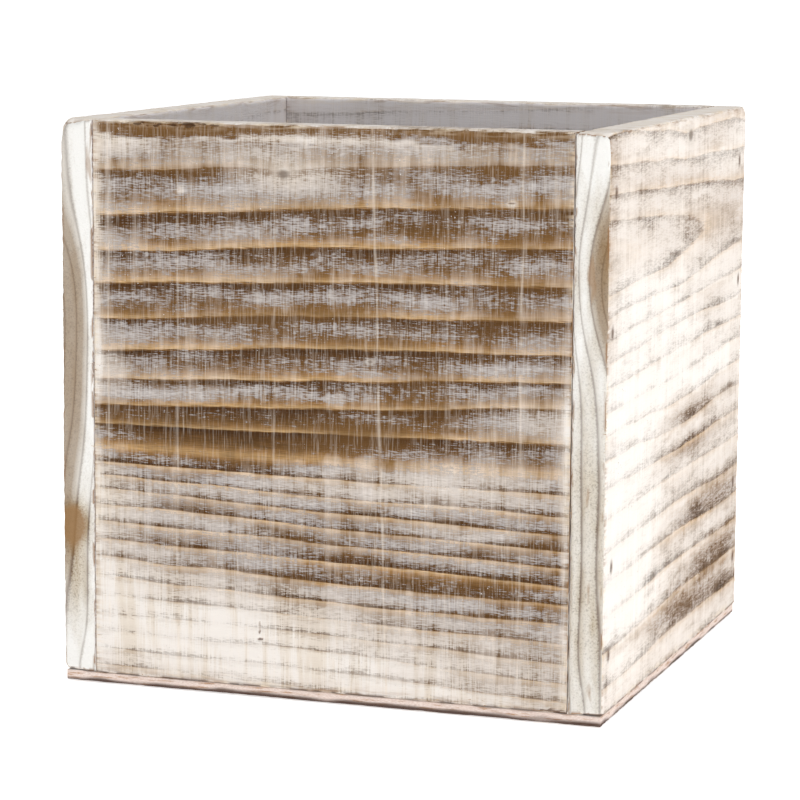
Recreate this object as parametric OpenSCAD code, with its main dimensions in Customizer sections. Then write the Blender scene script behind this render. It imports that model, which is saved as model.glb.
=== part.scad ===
// Small square planter box: four wall boards on a thin bottom panel, nailed and stapled
// together, with a lift-out liner. Millimetres, +Z up. The origin is the centre of the
// underside, the front faces -Y and the right side faces +X.

/* [Box] */
// Width over the two side boards
box_w = 152; // [110:1:400]
// Depth from the front face to the back face
box_d = 152; // [110:1:400]
// Height of the wall boards, which stand on the bottom panel
wall_h = 150; // [110:1:300]
// Thickness of the wall boards
board_t = 9.5; // [7.5:0.5:19]
// Thickness of the bottom panel
panel_t = 3; // [2.5:0.5:9]
// Radius of the eased arrises
arris_r = 1; // [0.5:0.1:2]

/* [Brads] */
// Length of a brad, head included
brad_len = 25; // [20:1:40]
// Width of a brad's wire and head, across the wall board's end
brad_wire_w = 1.25; // [1:0.05:1.6]
// Thickness of a brad's wire, up and down
brad_wire_t = 1.05; // [0.8:0.05:1.4]
// Height of a brad's T-shaped head, up and down
brad_head_w = 1.9; // [1.6:0.1:2.8]
// Length of the head along the brad
brad_head_l = 1.1; // [0.8:0.1:2]
// Length of the chisel point
brad_point_l = 1.6; // [1:0.1:3]
// Depth of the head below the side board's face
brad_sink = 0.8; // [0.3:0.1:2]
// Height of the first brad above the wall board's lower edge
brad_low_1 = 15; // [8:0.5:25]
// Height of the second brad above the wall board's lower edge
brad_low_2 = 38; // [30:0.5:50]
// Drop of the third brad below the rim
brad_high_2 = 51; // [35:0.5:55]
// Drop of the fourth brad below the rim
brad_high_1 = 15.5; // [8:0.5:25]
// Furthest that a brad was driven off the centre line of the board behind it
brad_stray = 2.4; // [0:0.1:2.4]

/* [Staples] */
// Width over the two legs
staple_crown_w = 5.7; // [4:0.1:10]
// Length of the legs, crown included
staple_len = 16; // [12:1:25]
// Width of the wire, across the board above
staple_wire_w = 1.25; // [1:0.05:1.6]
// Thickness of the wire
staple_wire_t = 1.05; // [0.8:0.05:1.2]
// Length of the chisel points
staple_point_l = 1.4; // [1:0.1:2]
// Depth of the crown below the underside of the panel
staple_sink = 0.3; // [0.1:0.1:1]
// Staples along each side
staples_per_side = 3; // [2:1:5]
// Distance from a corner of the box to the nearest staple
staple_end = 30; // [28:1:40]

/* [Liner] */
// Drop of the liner's rim below the rim of the box
liner_drop = 14; // [5:1:40]
// Wall of the liner
liner_wall = 1; // [0.8:0.1:2]
// Gap between the liner's rim and the boards, all round
liner_gap = 1.5; // [0.5:0.1:4]
// Width of the flange round the liner's rim
liner_flange_w = 3; // [1:0.5:6]
// Thickness of the flange
liner_flange_t = 1.2; // [0.8:0.1:2]
// Distance that each wall leans in from rim to base
liner_draft = 4; // [1:0.5:8]
// Radius of the liner's upright corners, outside
liner_corner_r = 9; // [4:0.5:12]

/* [Fits] */
// Clearance of the holes round brads and staples
nail_fit = 0.05; // [0.02:0.01:0.1]

/* [Hidden] */
$fn = 64;
over = 1; // how far a cut runs past the face it opens
skin = 0.01; // thickness of the slices that the tapered liner is stretched between
tip_flat = 0.1; // half the width of the blunt edge on a chisel point

box_h = panel_t + wall_h;
front_w = box_w - 2 * board_t;
inside_w = box_w - 2 * board_t;
inside_d = box_d - 2 * board_t;

// Rows of brads, from the bottom: height above the board's lower edge, and how far inward of
// the centre line of the board behind each is driven, as a share of brad_stray
brad_rows = [
    [brad_low_1, 0.3],
    [brad_low_2, 1],
    [wall_h - brad_high_2, -0.15],
    [wall_h - brad_high_1, 0.5],
];
row_count = len(brad_rows);

// One entry per brad: side (1 right, -1 left), end (-1 front, 1 back), row
brads = [for (side = [1, -1], end = [-1, 1], row = [0:row_count - 1]) [side, end, row]];
// One entry per staple: edge (0 front, 1 right, 2 back, 3 left), place along it
staples = [for (edge = [0:3], place = [0:staples_per_side - 1]) [edge, place]];
edge_words = ["front", "right", "back", "left"];

function brad_name(b) =
    str("brad_", b.x > 0 ? "right" : "left", "_", b.y < 0 ? "front" : "back", "_", b.z + 1);
function staple_name(s) = str("staple_", edge_words[s.x], "_", s.y + 1);
// The stray of each row moves round by one at each corner, so no two corners match
function brad_row(b) = brad_rows[b.z];
function brad_off(b) =
    brad_stray * brad_rows[(b.z + (b.x < 0 ? 1 : 0) + (b.y > 0 ? 2 : 0)) % row_count].y;
function edge_reach(edge) = edge % 2 == 0 ? box_d / 2 : box_w / 2;
function edge_run(edge) = edge % 2 == 0 ? box_w : box_d;
function staple_step(edge) = (edge_run(edge) - 2 * staple_end) / (staples_per_side - 1);

// What a rounding of radius r takes off a square corner at the origin
module corner_waste(r) {
    difference() {
        translate([-over, -over]) square(r + over);
        translate([r, r]) circle(r = r);
    }
}

// Rectangle with the named corners rounded: 0 low left, 1 low right, 2 top right, 3 top left
module eased_rect(size, r, corners) {
    difference() {
        square(size);
        for (c = corners)
            translate([c == 1 || c == 2 ? size.x : 0, c > 1 ? size.y : 0])
                rotate(90 * c)
                    corner_waste(r);
    }
}

// The same rectangle, centred on the origin, all four corners rounded
module centred_rect(size, r) {
    translate(-size / 2) eased_rect(size, r, [0, 1, 2, 3]);
}

// T-headed brad along +X from the middle of its head's face. grow widens it all round and
// out runs the head on towards -X, for the hole that it is driven into.
module brad_shape(grow = 0, out = 0) {
    head = brad_head_w / 2 + grow;
    wire = brad_wire_t / 2 + grow;
    tip = tip_flat + grow;
    shoulder = brad_head_l + grow;
    rotate([90, 0, 0])
        linear_extrude(brad_wire_w + 2 * grow, center = true)
            polygon([
                [-out, -head], [shoulder, -head], [shoulder, -wire],
                [brad_len - brad_point_l, -wire], [brad_len + grow, -tip],
                [brad_len + grow, tip], [brad_len - brad_point_l, wire],
                [shoulder, wire], [shoulder, head], [-out, head],
            ]);
}

// Moves a brad from the origin to its place in a corner of the box
module at_brad(b) {
    translate([
        b.x * (box_w / 2 - brad_sink),
        b.y * (box_d / 2 - board_t / 2 - brad_off(b)),
        panel_t + brad_row(b).x,
    ])
        rotate([0, 0, b.x > 0 ? 180 : 0])
            children();
}

module brad_holes(side = 0, end = 0) {
    for (b = brads)
        if (b.x == side || b.y == end)
            at_brad(b) brad_shape(nail_fit, brad_sink + over);
}

// Staple standing on the origin, crown down along X, legs up. grow and out as for a brad.
module staple_shape(grow = 0, out = 0) {
    outer = staple_crown_w / 2 + grow;
    inner = staple_crown_w / 2 - staple_wire_t - grow;
    middle = (outer + inner) / 2;
    crown = staple_wire_t + grow;
    tip = tip_flat + grow;
    top = staple_len + grow;
    taper = staple_len - staple_point_l;
    rotate([90, 0, 0])
        linear_extrude(staple_wire_w + 2 * grow, center = true)
            polygon([
                [-outer, -out], [outer, -out], [outer, taper], [middle + tip, top],
                [middle - tip, top], [inner, taper], [inner, crown], [-inner, crown],
                [-inner, taper], [-middle + tip, top], [-middle - tip, top], [-outer, taper],
            ]);
}

// Moves a staple from the origin to its place under an edge of the box
module at_staple(s) {
    rotate([0, 0, 90 * s.x])
        translate([
            (s.y - (staples_per_side - 1) / 2) * staple_step(s.x),
            board_t / 2 - edge_reach(s.x),
            staple_sink,
        ])
            children();
}

module staple_holes(edges) {
    for (s = staples)
        if (len(search(s.x, edges)) > 0)
            at_staple(s) staple_shape(nail_fit, staple_sink + over);
}

// Wall board between the two side boards. end is -1 for the front and 1 for the back.
module cross_board(end) {
    difference() {
        translate([-front_w / 2, end * (box_d - board_t) / 2 - board_t / 2, panel_t])
            rotate([90, 0, 90])
                linear_extrude(front_w)
                    eased_rect([board_t, wall_h], arris_r, [2, 3]);
        brad_holes(end = end);
        staple_holes([end < 0 ? 0 : 2]);
    }
}

// Full-depth side board on the right, with its end grain on the front and back faces
module side_blank() {
    translate([box_w / 2 - board_t, -box_d / 2, panel_t])
        intersection() {
            linear_extrude(wall_h)
                eased_rect([board_t, box_d], arris_r, [1, 2]);
            rotate([90, 0, 90])
                linear_extrude(board_t)
                    eased_rect([box_d, wall_h], arris_r, [2, 3]);
            translate([0, box_d, 0])
                rotate([90, 0, 0])
                    linear_extrude(box_d)
                        eased_rect([board_t, wall_h], arris_r, [2, 3]);
        }
}

module front_board() {
    color("burlywood") cross_board(-1);
}

module back_board() {
    color("tan") cross_board(1);
}

module right_side_board() {
    color("linen")
        difference() {
            side_blank();
            brad_holes(side = 1);
            staple_holes([1]);
        }
}

module left_side_board() {
    color("antiquewhite")
        difference() {
            mirror([1, 0, 0]) side_blank();
            brad_holes(side = -1);
            staple_holes([3]);
        }
}

module bottom_panel() {
    color("peru")
        difference() {
            linear_extrude(panel_t) centred_rect([box_w, box_d], arris_r);
            staple_holes([0, 1, 2, 3]);
        }
}

module brad(b) {
    color("dimgray") at_brad(b) brad_shape();
}

module staple(s) {
    color("silver") at_staple(s) staple_shape();
}

// Slice of the liner at height z: draft_in inside its widest outline, wall_in inside that
module liner_slice(z, draft_in, wall_in) {
    inset = liner_gap + liner_flange_w + draft_in + wall_in;
    translate([0, 0, z])
        linear_extrude(skin)
            centred_rect([inside_w - 2 * inset, inside_d - 2 * inset], liner_corner_r - wall_in,
                $fn = 32);
}

module liner() {
    rim = box_h - liner_drop;
    color("darkslategray")
        difference() {
            union() {
                hull() {
                    liner_slice(panel_t, liner_draft, 0);
                    liner_slice(rim - skin, 0, 0);
                }
                translate([0, 0, rim - liner_flange_t])
                    linear_extrude(liner_flange_t)
                        centred_rect([inside_w - 2 * liner_gap, inside_d - 2 * liner_gap],
                            liner_corner_r + liner_flange_w, $fn = 32);
            }
            hull() {
                liner_slice(panel_t + liner_wall, liner_draft, liner_wall);
                liner_slice(rim + over, 0, liner_wall);
            }
        }
}

front_board();
back_board();
left_side_board();
right_side_board();
bottom_panel();
for (b = brads)
    brad(b);
for (s = staples)
    staple(s);
liner();
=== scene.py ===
# %% [markdown]
# # A whitewashed planter box
# This lesson finishes a small wooden planter box in Blender. The box itself, its nails, its
# staples and its liner were designed in a CAD model, which gives every piece its true place
# and size. Here the plain boards are replaced by boards that look handled: sawn across the
# grain, brushed with thin white paint, rubbed back and knocked about at the edges.

# %% Load the frame
import itertools
import math
from types import SimpleNamespace

import bpy
import numpy as np
from mathutils import Euler, Matrix, Vector


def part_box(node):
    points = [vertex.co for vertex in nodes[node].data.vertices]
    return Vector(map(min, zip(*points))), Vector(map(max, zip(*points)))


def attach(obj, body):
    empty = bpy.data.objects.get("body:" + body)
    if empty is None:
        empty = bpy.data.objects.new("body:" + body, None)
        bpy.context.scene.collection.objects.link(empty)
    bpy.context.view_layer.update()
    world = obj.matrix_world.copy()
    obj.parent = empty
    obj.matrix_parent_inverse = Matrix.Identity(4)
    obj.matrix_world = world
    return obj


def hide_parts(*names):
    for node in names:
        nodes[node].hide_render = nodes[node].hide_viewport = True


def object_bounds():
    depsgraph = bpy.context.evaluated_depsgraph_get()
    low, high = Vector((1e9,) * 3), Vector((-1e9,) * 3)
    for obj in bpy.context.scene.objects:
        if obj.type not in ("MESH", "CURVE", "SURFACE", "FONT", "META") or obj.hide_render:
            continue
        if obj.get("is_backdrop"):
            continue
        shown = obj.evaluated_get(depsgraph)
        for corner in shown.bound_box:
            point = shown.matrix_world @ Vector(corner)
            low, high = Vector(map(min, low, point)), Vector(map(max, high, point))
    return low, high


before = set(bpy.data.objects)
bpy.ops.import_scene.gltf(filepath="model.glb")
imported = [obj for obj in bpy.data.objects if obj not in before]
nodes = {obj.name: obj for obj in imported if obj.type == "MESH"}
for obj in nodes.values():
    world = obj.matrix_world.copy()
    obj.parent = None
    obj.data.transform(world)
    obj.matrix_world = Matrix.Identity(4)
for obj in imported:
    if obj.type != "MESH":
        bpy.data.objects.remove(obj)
cad_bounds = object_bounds()

# %% [markdown]
# ## Measures
# The boards' sizes come from the CAD nodes, so nothing is typed twice. A board is described in
# its own directions: `along` its grain, `up` its width and `out` of the face that the world
# sees. Those three make a right-handed set, which keeps every face pointing outwards. They could
# be read off each board's shape, but five short lines are easier to check by eye.

# %% Measures and directions
MM = 0.001


def corners_mm(node):
    """The lowest and highest corners of a CAD node, in millimetres."""
    low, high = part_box(node)
    return np.array(low) / MM, np.array(high) / MM


X, Y, Z = np.eye(3)
BOARDS = {
    "front_board": dict(along=X, up=Z, out=-Y),
    "back_board": dict(along=-X, up=Z, out=Y),
    "right_side_board": dict(along=Y, up=Z, out=X),
    "left_side_board": dict(along=-Y, up=Z, out=-X),
    "bottom_panel": dict(along=X, up=-Y, out=-Z),
}
for board in BOARDS:
    low, high = corners_mm(board)
    print(board, "measures", np.round(high - low, 1), "mm")

# %% [markdown]
# ## Uneven numbers
# Wood is never even. `lumps` gives smooth random values from -1 to 1, about one lump for each
# unit of length, and always the same ones for the same seed. Blender has noise of its own, but
# this one takes a whole array of points at once, which keeps dense boards quick to build.

# %% Smooth noise for shaping
def lumps(points, seed):
    """Smooth random values from -1 to 1 at an array of points with three coordinates."""
    cell = np.floor(points)
    part = points - cell
    part = part * part * (3 - 2 * part)
    total = np.zeros(len(points))
    for corner in itertools.product((0, 1), repeat=3):
        key = (cell + corner) @ (127.1, 311.7, 74.7) + 19.19 * seed
        value = np.modf(np.abs(np.sin(key)) * 43758.5453)[0] * 2 - 1
        total += value * np.prod(np.where(corner, part, 1 - part), axis=1)
    return total


def flat_lumps(along, up, sizes, seed):
    """Lumps that measure sizes, for points on a face."""
    flat = np.stack([along / sizes[0], up / sizes[1], np.zeros(len(along))], axis=1)
    return lumps(flat, seed)


print("noise sample:", np.round(lumps(np.array([[0.3, 1.7, 2.2]]), 1), 3))


# %% Soft steps and bells
def smooth_step(low, high, value):
    """0 below low, 1 above high and a smooth rise between."""
    t = np.clip((value - low) / (high - low), 0, 1)
    return t * t * (3 - 2 * t)


def bell(distance):
    """1 at distance 0, falling smoothly to about 0 by 2."""
    return np.exp(-distance * distance)


print("half way up a step:", smooth_step(0, 1, 0.5), "and a bell at 1:", round(float(bell(1.0)), 2))

# %% [markdown]
# ## A board as a mesh
# A board could be a cube with a bevel, but then its edges would all be alike. Here it is a fine
# grid of points on the face that shows, folded round the four edges and closed by a coarser
# grid on the inner face. The points can then be moved one by one for worn edges, dents, nail
# holes and the ribs that a saw leaves. The grid's lines crowd together at the edges, where the
# rounding is tight, and stand in pairs at the sides of each nail hole.

# %% Grid lines
EDGE_LINES = (0, 0.2, 0.45, 0.8)  # how far in from an end the crowded lines lie, in mm
EDGE_ZONE = 1.2  # where the even lines begin


def grid_lines(length, step, holes=()):
    """Places of grid lines from -length/2 to length/2, closer together at both ends. A hole
    (middle, reach) gets a pair of lines at each of its sides, for its upright walls."""
    half = length / 2
    count = max(2, round((length - 2 * EDGE_ZONE) / step)) + 1
    even = np.linspace(EDGE_ZONE - half, half - EDGE_ZONE, count)
    ends = [side * (half - inset) for side in (-1, 1) for inset in EDGE_LINES]
    lines = [*even, *ends]
    for middle, reach in holes:
        lines = [v for v in lines if abs(abs(v - middle) - reach) > 0.15]
        lines += [middle + side * (reach + step_out) for side in (-1, 1) for step_out in (-0.07, 0.03)]
    kept = []
    for v in sorted(lines):
        if not kept or v - kept[-1] > 0.03:
            kept.append(v)
    return np.array(kept)


def coarse_choice(lines, step):
    """Indexes of the lines that the inner face keeps: all near the ends, then one every step."""
    chosen = [0]
    for i in range(1, len(lines)):
        near_end = min(lines[i] - lines[0], lines[-1] - lines[i]) < EDGE_ZONE + 0.1
        if near_end or lines[i] - lines[chosen[-1]] >= step:
            chosen.append(i)
    return chosen


sample = grid_lines(20, 2.0)
print(len(sample), "lines on 20 mm, of which the inner face keeps", len(coarse_choice(sample, 5.0)))

# %% [markdown]
# ## Folding the grid
# The rim of the grid is walked once round, anticlockwise, and copied downward at a few depths to
# make the four edges. The inner face then takes only some of the rim's points as corners of its
# cells. The rim points between two corners are put into the cell's outline as well, so that the
# mesh has no gap where fine and coarse meet.

# %% Points and faces of a board
FACE, END, EDGE, INSIDE = range(4)  # which part of the board a face lies on


def rim_walk(nu, nv):
    """Grid places round the rim: along the foot, up the right end, back along the top and down
    the left end. Also the board's part that each stretch belongs to."""
    rim = [(i, 0) for i in range(nu - 1)]
    rim += [(nu - 1, j) for j in range(nv - 1)]
    rim += [(i, nv - 1) for i in range(nu - 1, 0, -1)]
    rim += [(0, j) for j in range(nv - 1, 0, -1)]
    parts = [EDGE] * (nu - 1) + [END] * (nv - 1) + [EDGE] * (nu - 1) + [END] * (nv - 1)
    return rim, parts


def folded_grid(size, step, inner_step, holes):
    """Points, faces and each face's part, for a closed board of size (along, up, thick). It is
    centred along and up, and its shown face is at out = 0."""
    length, height, thick = size
    lines_u = grid_lines(length, step, [(hole[0], hole[2]) for hole in holes])
    lines_v = grid_lines(height, step, [(hole[1], hole[3]) for hole in holes])
    depths = (grid_lines(thick, step) - thick / 2)[::-1][1:]
    nu, nv = len(lines_u), len(lines_v)
    grid = np.arange(nu * nv).reshape(nv, nu)
    uu, vv = np.meshgrid(lines_u, lines_v)
    points = [np.stack([uu.ravel(), vv.ravel(), np.zeros(nu * nv)], axis=1)]
    cells = np.stack([grid[:-1, :-1], grid[:-1, 1:], grid[1:, 1:], grid[1:, :-1]], axis=-1)
    faces = [tuple(cell) for cell in cells.reshape(-1, 4).tolist()]
    parts = [FACE] * len(faces)

    # fold the grid back round its edge
    rim, rim_parts = rim_walk(nu, nv)
    rim_place = {spot: n for n, spot in enumerate(rim)}
    loop = [int(grid[j, i]) for i, j in rim]
    total = nu * nv
    for depth in depths:
        points.append(np.array([(lines_u[i], lines_v[j], depth) for i, j in rim]))
        below = list(range(total, total + len(rim)))
        total += len(rim)
        for n, m in zip(range(len(rim)), [*range(1, len(rim)), 0]):
            faces.append((loop[n], below[n], below[m], loop[m]))
        parts += rim_parts
        loop = below

    # close the inner face with fewer, larger cells
    keep_u, keep_v = coarse_choice(lines_u, inner_step), coarse_choice(lines_v, inner_step)
    inner = {(i, j): loop[rim_place[i, j]] for i in keep_u for j in keep_v if (i, j) in rim_place}
    inside = [(i, j) for j in keep_v[1:-1] for i in keep_u[1:-1]]
    inner.update({spot: total + n for n, spot in enumerate(inside)})
    points.append(np.array([(lines_u[i], lines_v[j], -thick) for i, j in inside]))

    def between(a, b):
        """Rim points strictly between two corners of a cell, when both lie on one edge."""
        same_end = a[0] == b[0] and a[0] in (0, nu - 1)
        same_edge = a[1] == b[1] and a[1] in (0, nv - 1)
        if not (same_end or same_edge):
            return []
        moves = range(1, abs(a[0] - b[0]) + abs(a[1] - b[1]))
        toward = (np.sign(b[0] - a[0]), np.sign(b[1] - a[1]))
        return [loop[rim_place[a[0] + k * toward[0], a[1] + k * toward[1]]] for k in moves]

    for j0, j1 in zip(keep_v, keep_v[1:]):
        for i0, i1 in zip(keep_u, keep_u[1:]):
            spots = [(i0, j0), (i0, j1), (i1, j1), (i1, j0)]
            face = []
            for a, b in zip(spots, spots[1:] + spots[:1]):
                face += [inner[a], *between(a, b)]
            faces.append(tuple(face))
            parts.append(INSIDE)
    return np.concatenate(points), faces, parts


sample = folded_grid((20, 15, 3), 1.0, 3.0, [])
print("a 20 x 15 x 3 mm board has", len(sample[0]), "points and", len(sample[1]), "faces")

# %% [markdown]
# ## Worn edges
# A sharp corner is the surest sign of a computer model. Every edge of these boards is rounded
# by pushing its points onto a ball that rolls inside the board. A Bevel modifier would give the
# same radius everywhere. Here the ball's size changes along the edge and swells at a knocked
# corner, so that the rounding looks worn and not machined.

# %% Rounding
def rounded(points, size, radius):
    """Points on the board's square surface moved onto its rounded one, and their normals."""
    half = np.array(size) / 2
    centred = points + (0, 0, half[2])
    core = half - radius[:, None]
    nearest = np.clip(centred, -core, core)
    away = centred - nearest
    reach = np.linalg.norm(away, axis=1, keepdims=True)
    normals = away / np.maximum(reach, 1e-9)
    return nearest + radius[:, None] * normals - (0, 0, half[2]), normals


def edge_radius(points, size, radii, corners, seed):
    """Radius of the rounding at each point: radii is (end, top, foot) for the shown side, and
    corners are knocked rounder, each (along, up, radius)."""
    from_end = size[0] / 2 - np.abs(points[:, 0])
    from_top = size[1] / 2 - points[:, 1]
    from_foot = size[1] / 2 + points[:, 1]
    nearest = np.argmin([from_end, from_top, from_foot], axis=0)
    radius = np.choose(nearest, radii)
    slow = lumps(points / (9, 9, 4), seed)
    fast = lumps(points / (1.7, 1.7, 1.5), seed + 1)
    worn = 1 + 0.35 * slow + 0.35 * fast
    # the foot stays square, because it never rubbed on anything
    radius = radii[2] + (radius * worn - radii[2]) * smooth_step(0, 2, from_foot)
    for along, up, knocked in corners:
        near = bell(np.hypot(points[:, 0] - along, points[:, 1] - up) / (1.5 * knocked))
        near = near * smooth_step(-8.5, -4, points[:, 2])
        radius = np.maximum(radius, knocked * near)
    return np.clip(radius, 0.08, 4)


sample = np.array([[10.0, 7.5, 0.0], [0.0, 0.0, 0.0]])
print("a corner moves to", np.round(rounded(sample, (20, 15, 3), np.array([0.8, 0.8]))[0][0], 2))


# %% [markdown]
# ## Chips
# A chip is a bite out of an edge. Each one is an egg shape: every point inside it is pushed out
# to its surface. Cutting with a Boolean would do the same, but it would leave long thin faces
# and lose the board's even grid. A little noise makes the bite's lip ragged.

# %% Chips
def bitten(points, bites, seed):
    """Points pushed out of each bite, an egg (along, up, out, its three half-lengths)."""
    ragged = 1 + 0.25 * lumps(points / (1.2, 0.35, 0.5), seed)
    for bite in bites:
        middle, reach = np.array(bite[:3]), np.array(bite[3:])
        offset = (points - middle) / reach
        distance = np.linalg.norm(offset, axis=1)
        inside = distance < ragged
        push = (ragged[inside] / np.maximum(distance[inside], 0.05))[:, None]
        points[inside] = middle + offset[inside] * push * reach
    return points


sample = bitten(np.array([[0.0, 0.0, -0.1]]), [(0, 0, 0, 1, 1, 1)], 1)
print("a point just inside a bite is pushed to", np.round(sample[0], 2))

# %% [markdown]
# ## How the grain runs
# A board is a slice of a tree, and the lines on its face are the yearly rings that the saw cut
# through. Where the slice passes nearest the heart the lines open into a long arch, and away
# from it they run side by side. A picture of wood could be laid on instead, but then the relief
# and the colours would not know of each other. `ring_number` counts the rings outward from the
# arch, so that a whole number is a line, and both the mesh and the material read that count.

# %% Rings on a face
def ring_number(along, drop, grain, seed):
    """Rings counted outward from the arch, at points along the board and drop below its rim, in
    mm. The grain gives heart, the arch's drop; first, its half-height; spread, how blunt it is;
    taper and tilt, how it opens toward one end; and above and below, the width of the next ring
    and its growth per ring."""
    wander = 1.3 * flat_lumps(along, drop, (60, 14), seed)
    wander += 0.35 * flat_lumps(along, drop, (15, 3.5), seed + 1)
    depth = drop - grain["heart"] + wander
    spread = grain["spread"]
    far = np.sqrt(depth**2 + spread**2 + grain["taper"] * (along + 76))
    far += grain["tilt"] * along * smooth_step(2, 16, np.abs(depth))
    side = smooth_step(-spread - 2, spread + 2, depth)
    width = grain["above"][0] * (1 - side) + grain["below"][0] * side
    growth = grain["above"][1] * (1 - side) + grain["below"][1] * side
    beyond = far - grain["first"]
    root = np.sqrt(np.maximum(width**2 + 4 * growth * np.maximum(beyond, 0), 0.01))
    # inside the innermost arch the wood stays in the light part of a ring
    return np.where(beyond < 0, -0.35 * beyond / width, 2 * beyond / (width + root))


def knotted(ring, along, drop, knots):
    """The ring count bent round each knot (along, drop, radius), and how near a knot is."""
    near = np.zeros(len(along))
    for middle, low, radius in knots:
        distance = np.hypot((along - middle) / 1.5, drop - low) / radius
        ring = ring + 0.12 * bell(distance * 0.4)
        near = np.maximum(near, bell(distance * 1.1))
    return ring, near


GRAIN = {}
print("the ring count will run on", len(BOARDS), "boards")

# %% [markdown]
# ## Where the paint stayed
# How much paint is left changes slowly over a board, for reasons of its own: a wet brush here,
# a rubbed corner there. A noise alone would spread it evenly and tell no story, so each board
# has an average level and a short list of soft patches that raise or lower it. Thin patches
# get a ragged outline, like paint that has flaked.

# %% Patches
def patchwork(along, drop, level, patches):
    """A level that soft patches raise or lower: each is (along, drop, half-length, half-height,
    amount, slope)."""
    total = np.full(len(along), float(level))
    uneven = flat_lumps(along, drop, (4.5, 1.3), 61)
    for middle, low, reach, height, amount, slope in patches:
        line = low + slope * (along - middle)
        ragged = 1 + min(0.6, 1.1 / height) * uneven
        total += amount * bell(np.hypot((along - middle) / reach, (drop - line) / height) * ragged)
    return total


middle_of_patch = patchwork(np.zeros(1), np.zeros(1), 0.4, [(0, 0, 10, 5, 0.3, 0)])
print("a patch of 0.3 on a level of 0.4 gives", round(float(middle_of_patch[0]), 2))

# %% [markdown]
# ## The front board
# This board was sawn just off the heart, which crosses it low down: broad rings above, narrow
# ones below. The finish is hazy under the rim, bare and dark over the heart and nearly white at
# the foot. `faded` says where the rings hardly show. Sizes are in mm from the middle of the
# board along it, and down from its rim.

# %% Grain and whitewash of the front board
GRAIN["front_board"] = dict(
    heart=87.7, first=1.1, spread=1, tilt=-0.036, taper=0, above=(6.2, 0.25), below=(4.2, 0.04),
    level=0.36, knots=[(-12.2, 13, 2.2), (12, 61, 0.9)],
    patches=[
        (0, 0, 200, 19, 0.26, 0),  # haze under the rim
        (-43, 1.6, 17, 1.9, -1.5, 0),  # bare strips where the rim was rubbed
        (41, 1.5, 18, 1.6, -1.4, 0),
        (-10, 3.8, 60, 1.2, 0.3, 0),
        (-58, 5, 12, 3, 0.25, 0),
        (-66, 30, 9, 40, 0.2, 0),
        (-12, 13, 15, 5.5, 0.3, 0),  # halo round the knot
        (37, 25, 26, 9, -0.2, 0),
        (-22, 42, 40, 8, 0.1, -0.04),
        (-14, 49, 30, 4, -0.2, -0.04),
        (8, 59, 26, 9, -0.15, -0.04),
        (-62, 66, 14, 9, 0.2, 0),
        (-30, 71, 26, 4, 0.2, -0.03),
        (-38, 82, 38, 6.5, -0.95, -0.03),  # bare band over the heart
        (4, 82, 30, 5, -0.6, -0.03),
        (-66, 50, 1.6, 70, 0.5, 0),  # paint runs along the joints
        (65.4, 92, 1.2, 56, 0.4, 0),
        (62, 74, 19, 13, 0.36, 0),
        (34, 92, 52, 6, 0.28, 0.03),
        (0, 104, 80, 13, 0.3, 0.03),
        (-68, 100, 14, 26, 0.4, 0),
        (0, 104, 34, 5, -0.12, 0.1),
        (36, 117, 34, 4, -0.34, 0.12),
        (-48, 130, 62, 13, 0.42, 0.1),
        (0, 146, 160, 19, 0.5, 0),  # the white foot
        (50, 18.6, 2.0, 1.2, 0.8, 0),  # dents that caught paint
        (-41.4, 18, 1.1, 1.0, 0.55, 0),
        (-48, 17.6, 5, 0.6, -0.5, 0),
    ],
    faded=[
        (0, 3, 200, 14, 1.1, 0),
        (52, 40, 22, 26, 0.5, 0),
        (-12, 15, 18, 8, 0.6, 0),
        (10, 146, 90, 14, 0.5, 0),
    ],
)
print("the front board has", len(GRAIN["front_board"]["patches"]), "patches")

# %% [markdown]
# ## The side boards
# The sides took far more paint than the front, so their level is high and most patches lower it.
# The arch of the right one opens toward the back, and its lower half has long bare streaks.
# Nothing fixes the left one, so it is another board of the same kind.

# %% Grain and whitewash of the side boards
GRAIN["right_side_board"] = dict(
    heart=32.5, first=6, spread=2.5, tilt=0, taper=1.1, above=(5.4, 0.3), below=(4.6, 0.16),
    level=0.86, knots=[(8, 5, 3.2)],
    patches=[
        (46, 30, 44, 9, -0.22, 0),
        (0, 17, 60, 3, -0.15, 0.04),
        (10, 83, 30, 3, -0.28, 0),
        (18, 92, 30, 3.4, -0.42, 0),  # the long bare streaks
        (40, 112, 44, 4.4, -0.55, -0.02),
        (48, 129, 36, 5, -0.75, -0.03),
        (20, 138, 66, 4, -0.5, 0.05),
        (-76, 20, 6, 36, -0.25, 0),  # the bare corner at the front
        (-46, 30, 26, 9, -0.12, 0),
        (-20, 72, 90, 5, 0.25, 0),
        (-60, 120, 30, 24, 0.2, 0),  # whiter toward the front
        (-52, 90, 34, 44, 0.18, 0),
        (-30, 50, 40, 12, 0.15, 0),
        (40, 60, 60, 6, 0.12, 0),
    ],
)
GRAIN["left_side_board"] = dict(
    heart=60, first=6, spread=2, tilt=0.03, taper=1.2, above=(5.5, 0.08), below=(5.2, 0.05),
    level=0.8, knots=[(-20, 104, 2.6)],
    patches=[
        (-40, 40, 40, 7, -0.4, 0.05),
        (30, 74, 44, 6, -0.35, -0.03),
        (-10, 118, 60, 5, -0.3, 0.04),
        (52, 20, 26, 8, -0.2, 0),
    ],
)
print("paint level right and left:", GRAIN["right_side_board"]["level"], GRAIN["left_side_board"]["level"])

# %% [markdown]
# ## The back board and the panel
# The back is painted like the front but not copied from it. The panel under the box was never
# meant to be seen, so it is nearly bare, with the wide rings of peeled veneer.

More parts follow.
